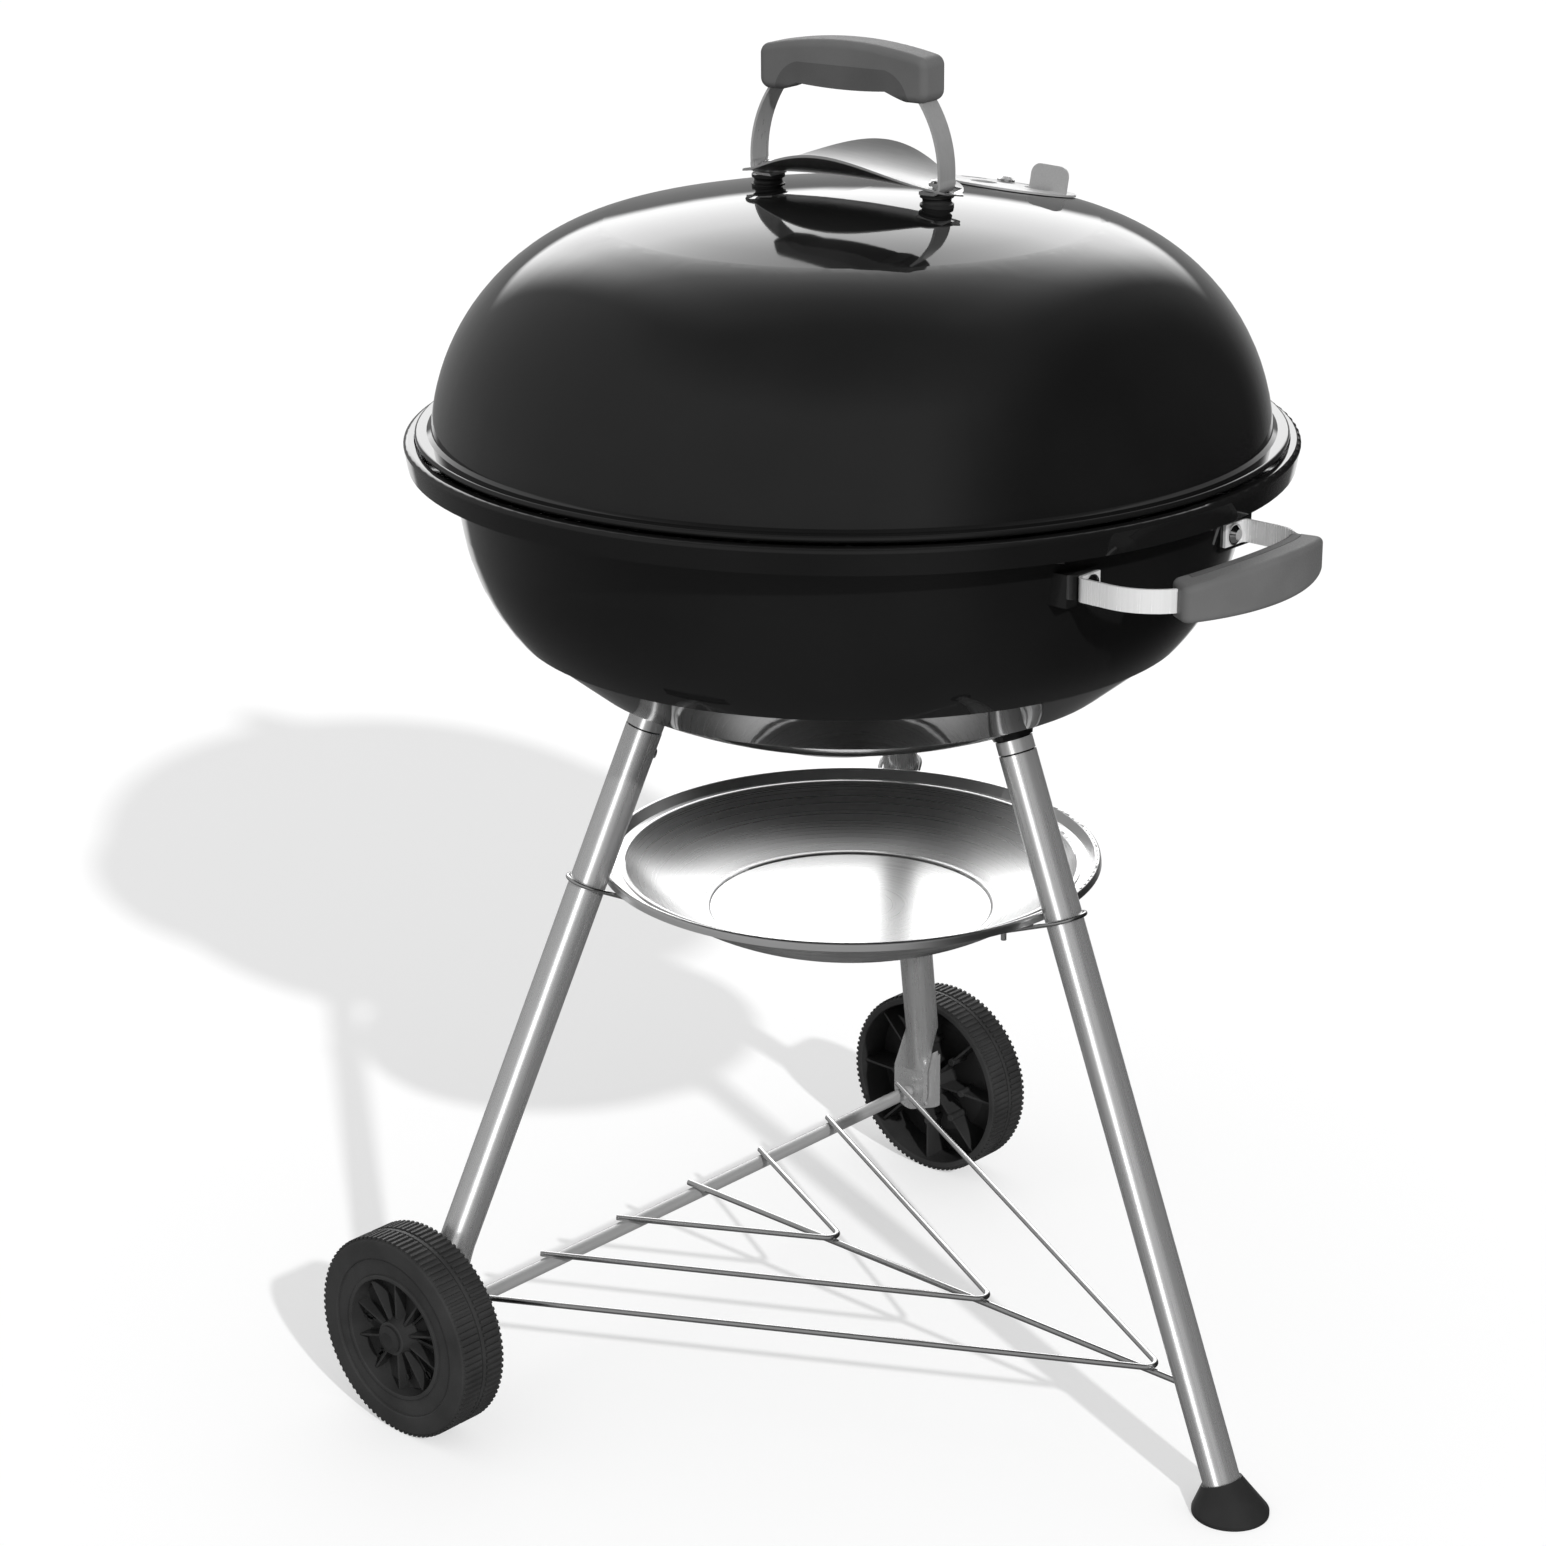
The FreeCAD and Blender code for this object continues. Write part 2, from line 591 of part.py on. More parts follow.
def bowl_handle_bracket():
    """Welded block between the bowl's wall and an arm's foot."""
    block = Part.makeBox(34, 30, 21, V(ARM_FOOT - 3, ARM_ROOT + 1, ARM_Z - 10.5))
    return block.cut([bowl_wall(), arm_bolt_hole(1)])


def bowl_handle_bolt():
    """Domed bolt through an arm's foot into the bracket."""
    face = ARM_ROOT - 1
    shank = Part.makeCylinder(2.95, 5, V(ARM_BOLT, face, ARM_Z), V(0, 1, 0))
    washer = Part.makeCylinder(7, 1, V(ARM_BOLT, face, ARM_Z), V(0, -1, 0))
    head = Part.makeCone(6, 3.6, 3, V(ARM_BOLT, face - 1, ARM_Z), V(0, -1, 0))
    return fused([shank, washer, head])


BOWL_GRIP_BOTTOM = 629.5
BOWL_GRIP_TOP = 660.0
GRIP_DEPTH = 22.0           # of the grip, seen from above
GRIP_SPREAD = 31.0          # half of the grip's arc
GRIP_SKEW = 1.2             # the grip sits a little to one side on the band
INSERT_WALL = 2.0           # between the band and the insert


def bow_centre(z=0.0):
    return V(0, GRIP_FRONT + GRIP_ARC, z)


def sector(near, far, spread, low, height):
    """Block between two arcs round the grip's centre."""
    def around(radius, degrees):
        return bow_centre(low) + polar(radius, degrees - 90)

    plan = outline(around(near, -spread), (around(near, 0), around(near, spread)), around(far, spread),
                   (around(far, 0), around(far, -spread)))
    return prism(plan, V(0, 0, height))


def bowl_grip_block():
    """Bowed grip: flat below, arched on top, with rounded ends."""
    near, far = GRIP_ARC - GRIP_DEPTH / 2, GRIP_ARC + GRIP_DEPTH / 2
    slab = sector(near, far, GRIP_SPREAD, BOWL_GRIP_BOTTOM, 60)
    slab = slab.makeFillet(6.0, edges_along(slab, Z_AXIS))
    y, side = -400, BOWL_GRIP_TOP - 15
    arch = outline(V(-100, y, 600), V(100, y, 600), V(100, y, side), (V(0, y, BOWL_GRIP_TOP), V(-100, y, side)))
    block = slab.common(prism(arch, V(0, 200, 0)))
    block = block.makeFillet(4.0, edges_across(block, Z_AXIS))
    return turned(block, GRIP_SKEW, bow_centre())


def bowl_insert_zone(wall):
    """Inner part of the grip, against the fingers."""
    zone = sector(GRIP_ARC - 30, GRIP_ARC - wall, GRIP_SPREAD - 4 - wall / 3, 600, 90)
    return turned(zone, GRIP_SKEW, bow_centre())


def bowl_handle_grip():
    return bowl_grip_block().cut([bowl_insert_zone(INSERT_WALL), arm_band()])


def bowl_handle_insert():
    return bowl_grip_block().common(bowl_insert_zone(INSERT_WALL + 0.5)).cut(arm_band())


def on_handle(shape):
    return turned(shape, BOWL_HANDLE_TURN)


# ---- legs ---------------------------------------------------------------------------------
def leg_point(z):
    """Point of the foot leg's axis at a height."""
    return V(0, -(LEG_RADIUS_AT_TOP + LEG_SLOPE * (LEG_TOP - z)), z)


LEG_DIRECTION = (leg_point(0) - leg_point(LEG_TOP)).normalize()
WHEEL_LEG_CUT = 131.0       # height where a wheel leg's crimp begins
PLATE_X = 251.0
BOOT_INSIDE = 8.0
BUTTON_RADIUS = 3.3
BORE_RADIUS = TUBE_RADIUS - TUBE_WALL


def leg_tube(low):
    outer = rod(leg_point(LEG_TOP), leg_point(low), TUBE_RADIUS)
    return outer.cut(rod(leg_point(LEG_TOP + 5), leg_point(low - 5), BORE_RADIUS))


def button_axis():
    """Point and direction of a leg's spring button, square to the leg and facing inward."""
    point = leg_point(LEG_TOP - 14)
    square = V(0, LEG_DIRECTION.z, -LEG_DIRECTION.y).normalize()
    return point, square if square.y > 0 else square * -1


def button_rod(radius, start, end):
    point, square = button_axis()
    return rod(point + square * start, point + square * end, radius)


def button_hole():
    return button_rod(BUTTON_RADIUS + 0.05, 0, 30)


def leg_button():
    """Spring button that locks the tube on its socket."""
    return button_rod(BUTTON_RADIUS, TUBE_RADIUS - 4, TUBE_RADIUS + 1)


def foot_leg():
    centre_hole = rod(V(0, -280, RACK_Z), V(0, -305, RACK_Z), RACK_CENTRE_WIRE + 0.05)
    return leg_tube(BOOT_INSIDE).cut([button_hole(), centre_hole])


def crimped_end():
    """Lower end of the right wheel leg: a round tube pressed flat, square to the axle."""
    top = turned(Part.Wire(Part.makeCircle(TUBE_RADIUS, leg_point(WHEEL_LEG_CUT), LEG_DIRECTION)), LEG_TURN)
    x, z, thick, half = PLATE_X - 6.0, 92.0, 5.0, 15.0
    front, rear = V(x, WHEEL_Y - half, 0), V(x, WHEEL_Y + half, 0)
    outward = V(thick, 0, 0)
    corners = [front, front + outward, rear + outward, rear, front]
    low = Part.makePolygon([corner + V(0, 0, z) for corner in corners])
    taper = Part.makeLoft([top, low], True)
    axle = V(0, 0, WHEEL_RADIUS)
    tongue = outline(front + V(0, 0, z), front + axle, (V(x, WHEEL_Y, WHEEL_RADIUS - half), rear + axle),
                     rear + V(0, 0, z))
    return taper.fuse(prism(tongue, outward))


def wheel_leg():
    """Right leg. The left one is its mirror image."""
    tube = turned(leg_tube(WHEEL_LEG_CUT).cut(button_hole()), LEG_TURN)
    leg = tube.fuse(crimped_end()).removeSplitter()
    return leg.cut(axle_cutter(AXLE_RADIUS))


def axle_cutter(radius):
    return Part.makeCylinder(radius, 700, V(-350, WHEEL_Y, WHEEL_RADIUS), V(1, 0, 0))


def leg_socket():
    """Plug inside the tube's top and a flared foot under the bowl."""
    plug = rod(leg_point(LEG_TOP - 38), leg_point(LEG_TOP + 26), BORE_RADIUS - 0.05)
    base = leg_point(LEG_TOP + 10)
    flare = Part.makeCone(13.2, 21, 20, base, LEG_DIRECTION * -1)
    return fused([plug, flare]).cut([bowl_skin(0), button_hole()])


def leg_collar():
    """Ring on the socket, between the tube's end and the flare."""
    ring = rod(leg_point(LEG_TOP + 1), leg_point(LEG_TOP + 9), TUBE_RADIUS - 0.2)
    return ring.cut(leg_socket())


def on_every_leg(make):
    return [turned(make(), LEG_TURN * i) for i in range(3)]


def foot_boot():
    """Cone round the foot leg's end."""
    edge = 2.5
    base = Part.makeCylinder(FOOT_RADIUS, edge, V(0, -FOOT_REACH, 0))
    low = Part.Wire(Part.makeCircle(FOOT_RADIUS, V(0, -FOOT_REACH, edge)))
    high = Part.Wire(Part.makeCircle(TUBE_RADIUS + 1.4, leg_point(FOOT_HEIGHT), LEG_DIRECTION * -1))
    cone = Part.makeLoft([low, high], True)
    return fused([base, cone]).cut(rod(leg_point(BOOT_INSIDE), leg_point(120), TUBE_RADIUS))


# ---- ash pan and clips --------------------------------------------------------------------
def ash_pan():
    """Shallow dish: rolled rim, groove and bead, a sloping side and a ringed flat middle."""
    t, r = PAN_SHEET, PAN_RADIUS
    floor, ledge, top = PAN_FLOOR, PAN_TOP - 6.5, PAN_TOP
    side_start, side_end, ledge_end = 103.0, 155.0, 164.0
    return spun(V(0, 0, floor - t), V(0, 0, floor), V(97, 0, floor),
                (V(100, 0, floor + 1.6), V(side_start, 0, floor + 1)),
                (V(132, 0, floor + 15.5), V(side_end, 0, ledge)),
                (V(157.5, 0, ledge + 1.3), V(160, 0, ledge)), V(ledge_end, 0, ledge), V(r - 4, 0, top - 0.6),
                (V(r - 1.6, 0, top), V(r, 0, top - 1.6)), V(r + 0.6, 0, top - 5), V(r - 0.6, 0, top - 5),
                V(r - 1.4, 0, top - 1.8), V(r - 4, 0, top - 2.2), V(ledge_end, 0, ledge - t),
                V(side_end + 0.6, 0, ledge - t), (V(132.6, 0, floor + 14.5), V(side_start, 0, floor - t)))


CLIP_Z = PAN_TOP - 1.2      # where a clip's loop meets the leg's axis
CLIP_WIRE = 1.5
CLIP_ARM = 42.0


def pan_clip():
    """Wire looped round the outside of the foot leg, square to it, with both arms under the pan."""
    loop = TUBE_RADIUS + CLIP_WIRE + 0.1
    centre = leg_point(CLIP_Z)
    across = V(1, 0, 0)
    inward = V(0, -LEG_DIRECTION.z, LEG_DIRECTION.y)
    starts = [centre + across * (side * loop) for side in (1, -1)]
    tips = [start + inward * CLIP_ARM for start in starts]
    path = Part.Wire([Part.makeLine(tips[0], starts[0]),
                      Part.Arc(starts[0], centre - inward * loop, starts[1]).toShape(),
                      Part.makeLine(starts[1], tips[1])])
    ring = Part.Wire(Part.makeCircle(CLIP_WIRE, tips[0], inward))
    wire = path.makePipeShell([ring], True, False)
    ends = [rod(tip + V(0, 0, 1), tip - V(0, 0, 6), CLIP_WIRE + 0.4) for tip in tips]
    return fused([wire] + ends)


# ---- wheels and axle ----------------------------------------------------------------------
def wheel_profile():
    """Half section of a wheel: X is the radius, Z the distance from the inner face outward."""
    w, r = WHEEL_WIDTH, WHEEL_RADIUS
    bore, hub = AXLE_RADIUS + RUNNING_GAP, HUB_RADIUS
    floor = w - DISH_DEPTH
    first, last, sunk = PANEL
    return spun(V(bore, 0, WHEEL_BACK), V(bore, 0, w + HUB_STEP), V(hub, 0, w + HUB_STEP), V(hub + 2, 0, w - 4),
                V(hub + 5, 0, floor), (V(30, 0, floor - 3), V(DISH_RADIUS - 2, 0, floor)),
                V(DISH_RADIUS, 0, w), V(first - 1, 0, w), V(first, 0, w - sunk), V(last, 0, w - sunk),
                V(last + 1, 0, w), V(r - 3, 0, w), (V(r - 1, 0, w - 0.9), V(r, 0, w - 3)),
                V(r, 0, 3), (V(r - 1, 0, 0.9), V(r - 3, 0, 0)), V(r - 6, 0, 0), V(r - 6, 0, w - 8),
                V(52, 0, w - 10), V(DISH_RADIUS + 2, 0, floor - 6), V(hub + 5, 0, floor - 6),
                V(hub + 5, 0, WHEEL_BACK))


def wheel():
    """Wheel drawn along +Z, with spokes in the outer dish and ribs in the hollow back."""
    w = WHEEL_WIDTH
    spoke = Part.makeBox(DISH_RADIUS - 12, 3, 10, V(13.5, -1.5, w - 14))
    rib = Part.makeBox(WHEEL_RADIUS - 22, 1.8, w - 14, V(16, -0.9, WHEEL_BACK))
    spokes = [turned(spoke, 360 * i / SPOKES) for i in range(SPOKES)]
    ribs = [turned(rib, 360 * i / RIBS) for i in range(RIBS)]
    return fused([wheel_profile()] + spokes + ribs)


def set_on_axle(shape, side):
    """Moves a piece drawn along +Z, with Z = 0 at the wheel's inner face, to one end of the axle."""
    shape = turned(shape, 90 * side, ORIGIN, V(0, 1, 0))
    shape.translate(V(side * (WHEEL_FACE - WHEEL_WIDTH), WHEEL_Y, WHEEL_RADIUS))
    return shape


CAP_RIM = 1.4


def hub_cap():
    """Push-on cap over the axle's end."""
    z = WHEEL_WIDTH + HUB_STEP + CLEAR
    dome = Part.makeCylinder(10, CAP_RIM, V(0, 0, z)).fuse(Part.makeCone(10, 6, 1.6, V(0, 0, z + CAP_RIM)))
    return dome.removeSplitter().cut(Part.makeCylinder(AXLE_RADIUS, z + CAP_RIM, ORIGIN))


def wheel_washer():
    return Part.makeCylinder(10, 1.5, V(0, 0, 1.2)).cut(Part.makeCylinder(AXLE_RADIUS, 10, V(0, 0, -2)))


def axle_rod():
    half = WHEEL_FACE + HUB_STEP + CLEAR + CAP_RIM
    return Part.makeCylinder(AXLE_RADIUS, 2 * half, V(-half, WHEEL_Y, WHEEL_RADIUS), V(1, 0, 0))


def axle_sleeve():
    """Tube round the rod, between the legs."""
    tube = Part.makeCylinder(SLEEVE_RADIUS, 2 * SLEEVE_HALF, V(-SLEEVE_HALF, WHEEL_Y, WHEEL_RADIUS), V(1, 0, 0))
    return tube.cut(axle_cutter(AXLE_RADIUS))


def axle_plate():
    """Stamped plate outside the right leg's end, with a flange along its front edge."""
    x, y, t = PLATE_X, WHEEL_Y - 22.8, 2.0
    low = WHEEL_RADIUS - 15
    edge = outline(V(x, y, low + 6), V(x, y + 15, low), V(x, y + 31, low + 3),
                   (V(x, y + 38, low + 9), V(x, y + 39, low + 18)), V(x, y + 28, low + 46),
                   V(x, y + 19, low + 40), V(x, y, low + 54))
    plate = prism(edge, V(t, 0, 0))
    flange = Part.makeBox(5, t, 44, V(x, y, low + 6))
    ridge = rod(V(x + 0.6, y + 9, low + 5), V(x + 0.6, y + 33, low + 27), 1.6)
    return fused([plate, flange, ridge]).cut([axle_cutter(AXLE_RADIUS), wheel_leg()])


# ---- wire rack ----------------------------------------------------------------------------
RACK_Z = WHEEL_RADIUS + SLEEVE_RADIUS + RACK_CENTRE_WIRE
RACK_APEX_Z = RACK_Z + RACK_CENTRE_WIRE + RACK_WIRE + 0.1


def rack_v(name):
    """One V-shaped wire, resting on the axle sleeve and on the centre wire."""
    half, apex = RACK_ENDS[name]
    rear_z = WHEEL_RADIUS + SLEEVE_RADIUS + RACK_WIRE + 0.1
    rear = WHEEL_Y + 5
    points = [V(half, rear, rear_z), V(0, apex - 8, RACK_APEX_Z), V(-half, rear, rear_z)]
    return bent_rod(points, 7.0, RACK_WIRE)


def rack_centre_wire():
    return rod(V(0, WHEEL_Y + 6, RACK_Z), V(0, -300, RACK_Z), RACK_CENTRE_WIRE)


# ---- grates -------------------------------------------------------------------------------
def grate(radius, z, rim_wire, bar_wire, pitch, braces):
    """Round grate: rim, parallel bars along X and two braces below them along Y."""
    parts = [Part.makeTorus(radius, rim_wire, V(0, 0, z))]
    count = int(radius / pitch)
    for i in range(-count, count + 1):
        half = math.sqrt(radius ** 2 - (i * pitch) ** 2)
        parts.append(rod(V(-half, i * pitch, z), V(half, i * pitch, z), bar_wire))
    for x in braces:
        half = math.sqrt(radius ** 2 - x ** 2)
        parts.append(rod(V(x, -half, z - bar_wire), V(x, half, z - bar_wire), bar_wire))
    return fused(parts)


def grate_tabs(reach, z, turns):
    """Short welded bars from the bowl's wall that a grate rests on."""
    inside = bowl_skin(SHEET)
    shapes = []
    for turn in turns:
        bar = Part.makeBox(60, 12, 3, V(reach, -6, z))
        shapes.append(turned(bar, turn).common(inside))
    return shapes


# ---- bowl dampers -------------------------------------------------------------------------
def under_bowl(shape, turn):
    """A shape drawn with +Z away from the bowl's skin."""
    return on_bowl_bottom(turned(shape, 180, ORIGIN, V(1, 0, 0)), turn)


def bowl_damper(turn):
    """Disc under the bowl's vents, with a low pull tab."""
    disc = curved_disc(BOWL_CAP_RADIUS, BOWL_DAMPER_RADIUS, CLEAR, DAMPER_SHEET)
    disc = disc.cut(vent_holes(4, BOWL_VENTS, BOWL_VENT_RADIUS) + [turning_hole()])
    width = 18.0
    tab = Part.makeBox(16, width, 1.4, V(33, -width / 2, -0.9))
    ear = Part.makeBox(1.6, width, 6, V(47.4, -width / 2, -0.9))
    return under_bowl(turned(fused([disc, tab, ear]), BOWL_TAB_TURN), turn)


def bowl_damper_rivet(turn):
    return under_bowl(rivet(), turn)


# ---- assembly -----------------------------------------------------------------------------
def both_sides(shape):
    return [shape, mirrored(shape)]


def nodes():
    right_leg = wheel_leg()
    made = {
        "bowl": bowl(),
        "bowl_handle_brackets": [on_handle(piece) for piece in both_sides(bowl_handle_bracket())],
        "bowl_handle_strap": on_handle(bowl_handle_strap()),
        "bowl_handle_grip": on_handle(bowl_handle_grip()),
        "bowl_handle_insert": on_handle(bowl_handle_insert()),
        "bowl_handle_bolts": [on_handle(piece) for piece in both_sides(bowl_handle_bolt())],
        "leg_sockets": on_every_leg(leg_socket),
        "leg_collars": on_every_leg(leg_collar),
        "leg_buttons": on_every_leg(leg_button),
        "foot_leg": foot_leg(),
        "right_wheel_leg": right_leg,
        "left_wheel_leg": mirrored(right_leg),
        "foot_boot": foot_boot(),
        "ash_pan": ash_pan(),
        "pan_clips": on_every_leg(pan_clip),
        "axle_rod": axle_rod(),
        "axle_sleeve": axle_sleeve(),
        "axle_plates": both_sides(axle_plate()),
        "hub_caps": [set_on_axle(hub_cap(), side) for side in (1, -1)],
        "wheel_washers": [set_on_axle(wheel_washer(), side) for side in (1, -1)],
        "right_wheel": set_on_axle(wheel(), 1),
        "left_wheel": set_on_axle(wheel(), -1),
        "rack_outer_wire": rack_v("outer"),
        "rack_middle_wire": rack_v("middle"),
        "rack_inner_wire": rack_v("inner"),
        "rack_centre_wire": rack_centre_wire(),
        "cooking_grate": grate(COOKING_RADIUS, COOKING_Z, 3.2, 2.3, 21.0, (-120, 120)),
        "charcoal_grate": grate(CHARCOAL_RADIUS, CHARCOAL_Z, 3.2, 2.8, 20.0, (-90, 90)),
        "cooking_grate_tabs": grate_tabs(247, COOKING_Z - 3.2 - 0.4 - 3, (30, 150, 210, 330)),
        "charcoal_grate_tabs": grate_tabs(192, CHARCOAL_Z - 3.2 - 0.4 - 3, (20, 160, 200, 340)),
        "bowl_damper_rivets": [bowl_damper_rivet(turn) for turn in BOWL_DAMPERS.values()],
        "lid": lid(),
        "lid_handle_strap": lid_handle_strap(),
        "lid_handle_grip": lid_handle_grip(),
        "lid_handle_insert": lid_handle_insert(),
        "heat_shield": heat_shield(),
        "lid_handle_spacers": at_handle_feet(lid_handle_spacer),
        "lid_handle_screws": at_handle_feet(lid_handle_screw),
        "lid_handle_nuts": at_handle_feet(lid_handle_nut),
        "lid_damper": lid_damper(),
        "lid_damper_rivet": lid_damper_rivet(),
        "lid_hook": lid_hook(),
    }
    for name, turn in BOWL_DAMPERS.items():
        made["bowl_damper_" + name] = bowl_damper(turn)
    return made


os.makedirs("parts", exist_ok=True)
for name, pieces in nodes().items():
    pieces = pieces if isinstance(pieces, list) else [pieces]
    shape = Part.makeCompound([solid for piece in pieces for solid in piece.Solids])
    shape.translate(V(0, AXIS_Y, 0))
    shape.exportStep("parts/" + name + ".step")
    print(name, len(shape.Solids), "valid" if shape.isValid() else "INVALID", round(shape.Volume / 1000, 2))
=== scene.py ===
import math

import bpy
from mathutils import Matrix, Vector


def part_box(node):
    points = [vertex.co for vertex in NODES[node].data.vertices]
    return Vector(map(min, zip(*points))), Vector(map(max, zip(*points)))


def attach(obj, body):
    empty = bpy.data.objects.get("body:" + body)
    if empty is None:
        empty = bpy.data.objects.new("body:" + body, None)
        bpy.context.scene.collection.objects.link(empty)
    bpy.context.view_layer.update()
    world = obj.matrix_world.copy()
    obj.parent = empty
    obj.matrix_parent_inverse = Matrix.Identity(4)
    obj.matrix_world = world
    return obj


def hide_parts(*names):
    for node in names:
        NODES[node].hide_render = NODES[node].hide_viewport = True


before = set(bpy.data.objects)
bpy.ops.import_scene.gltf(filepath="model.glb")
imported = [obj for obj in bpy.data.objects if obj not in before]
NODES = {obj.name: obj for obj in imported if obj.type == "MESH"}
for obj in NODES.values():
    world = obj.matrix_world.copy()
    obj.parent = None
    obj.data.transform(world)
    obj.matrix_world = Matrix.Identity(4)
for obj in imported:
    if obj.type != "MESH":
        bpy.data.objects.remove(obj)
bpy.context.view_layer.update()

MM = 0.001
X_AXIS, Z_AXIS = Vector((1, 0, 0)), Vector((0, 0, 1))


def box_centre(node):
    low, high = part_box(node)
    return (low + high) / 2


BOWL_CENTRE = box_centre("bowl")
KETTLE_AXIS = Vector((BOWL_CENTRE.x, BOWL_CENTRE.y, 0))
LEG_NODES = ("foot_leg", "left_wheel_leg", "right_wheel_leg")


# ---- node graphs --------------------------------------------------------------------------
class Graph:
    """Short ways to add nodes to a tree."""

    def __init__(self, tree):
        self.tree = tree

    def link(self, source, target):
        self.tree.links.new(source, target)

    def node(self, kind, **inputs):
        made = self.tree.nodes.new(kind)
        for name, value in inputs.items():
            socket = made.inputs[name.replace("_", " ")]
            if isinstance(value, bpy.types.NodeSocket):
                self.link(value, socket)
            else:
                socket.default_value = value
        return made

    def math(self, operation, first, second):
        made = self.tree.nodes.new("ShaderNodeMath")
        made.operation = operation
        for socket, value in zip(made.inputs, (first, second)):
            if isinstance(value, bpy.types.NodeSocket):
                self.link(value, socket)
            else:
                socket.default_value = value
        return made.outputs[0]

    def math_vector(self, operation, vector, other):
        made = self.tree.nodes.new("ShaderNodeVectorMath")
        made.operation = operation
        self.link(vector, made.inputs[0])
        made.inputs[1].default_value = other
        return made.outputs["Value"]

    def map_range(self, value, low, high, to_low, to_high):
        made = self.tree.nodes.new("ShaderNodeMapRange")
        made.interpolation_type = "SMOOTHSTEP"
        self.link(value, made.inputs["Value"])
        for name, number in (("From Min", low), ("From Max", high), ("To Min", to_low), ("To Max", to_high)):
            made.inputs[name].default_value = number
        return made.outputs[0]

    def ramp(self, value, stops):
        """Grey level from (position, level) stops."""
        made = self.node("ShaderNodeValToRGB", Fac=value)
        elements = made.color_ramp.elements
        while len(elements) < len(stops):
            elements.new(0.5)
        for element, (position, level) in zip(elements, stops):
            element.position = position
            element.color = (level, level, level, 1)
        return made.outputs["Color"]

    def coordinates(self, scale=(1, 1, 1), turn=(0, 0, 0)):
        """Object coordinates, turned and then scaled per axis."""
        place = self.node("ShaderNodeTexCoord").outputs["Object"]
        turned = self.tree.nodes.new("ShaderNodeMapping")
        turned.vector_type = "POINT"
        turned.inputs["Rotation"].default_value = turn
        self.link(place, turned.inputs["Vector"])
        scaled = self.tree.nodes.new("ShaderNodeMapping")
        scaled.inputs["Scale"].default_value = scale
        self.link(turned.outputs[0], scaled.inputs["Vector"])
        return scaled.outputs[0]

    def noise(self, vector, scale, detail=3.0, roughness=0.5):
        return self.node("ShaderNodeTexNoise", Vector=vector, Scale=scale, Detail=detail,
                         Roughness=roughness).outputs["Fac"]

    def blend(self, value, first, second):
        """Colour that runs from first to second as value goes from 0.35 to 0.65."""
        ramp = self.node("ShaderNodeValToRGB", Fac=value)
        ramp.color_ramp.elements[0].position = 0.35
        ramp.color_ramp.elements[0].color = (*first, 1)
        ramp.color_ramp.elements[1].position = 0.65
        ramp.color_ramp.elements[1].color = (*second, 1)
        return ramp.outputs["Color"]

    def bump(self, height, strength, distance):
        return self.node("ShaderNodeBump", Height=height, Strength=strength,
                         Distance=distance).outputs["Normal"]


def new_material(name, **shader_values):
    """Material with a Principled shader, whose constant values are set on its sockets."""
    material = bpy.data.materials.new(name)
    material.use_nodes = True
    graph = Graph(material.node_tree)
    shader = material.node_tree.nodes["Principled BSDF"]
    for label, value in shader_values.items():
        shader.inputs[label.replace("_", " ")].default_value = value
    return material, graph, shader


def grey(level, warm=0.0):
    return (level + warm, level, level - warm)


# ---- camera, stage and light --------------------------------------------------------------
CAMERA_AT = Vector((-1.75535, -1.54490, 1.27261))   # from the kettle's axis on the floor
CAMERA_HEADING = -47.349
CAMERA_PITCH = -19.563
CAMERA_ROLL = -0.359
LENS = 84.51

SUN_FROM = Vector((-0.359, -0.776, 0.519))
SUN_STRENGTH = 3.0
SUN_WIDTH = math.radians(1.6)
STUDIO_BACK = Vector((0.7355, 0.6775, 0.0))         # level, away from the camera
STUDIO_RIGHT = Vector((0.6775, -0.7355, 0.0))       # level, to the camera's right

FLOOR_RADIUS = 14.0
FLOOR_STEPS = 96


def make_camera():
    data = bpy.data.cameras.new("camera")
    data.lens = LENS
    data.sensor_width = 36.0
    data.clip_end = 60.0
    camera = bpy.data.objects.new("camera", data)
    bpy.context.scene.collection.objects.link(camera)
    turn = (Matrix.Rotation(math.radians(CAMERA_HEADING), 4, "Z")
            @ Matrix.Rotation(math.radians(90 + CAMERA_PITCH), 4, "X")
            @ Matrix.Rotation(math.radians(CAMERA_ROLL), 4, "Z"))
    camera.matrix_world = Matrix.Translation(KETTLE_AXIS + CAMERA_AT) @ turn
    bpy.context.scene.camera = camera


def make_floor(material):
    """Large round floor. It stays out of reflections, which show the studio below it instead."""
    verts = [(0.0, 0.0, 0.0)]
    for i in range(FLOOR_STEPS):
        angle = math.tau * i / FLOOR_STEPS
        verts.append((FLOOR_RADIUS * math.cos(angle), FLOOR_RADIUS * math.sin(angle), 0.0))
    faces = [(0, 1 + i, 1 + (i + 1) % FLOOR_STEPS) for i in range(FLOOR_STEPS)]
    mesh = bpy.data.meshes.new("floor")
    mesh.from_pydata(verts, [], faces)
    mesh.materials.append(material)
    floor = bpy.data.objects.new("floor", mesh)
    bpy.context.scene.collection.objects.link(floor)
    floor.visible_glossy = False


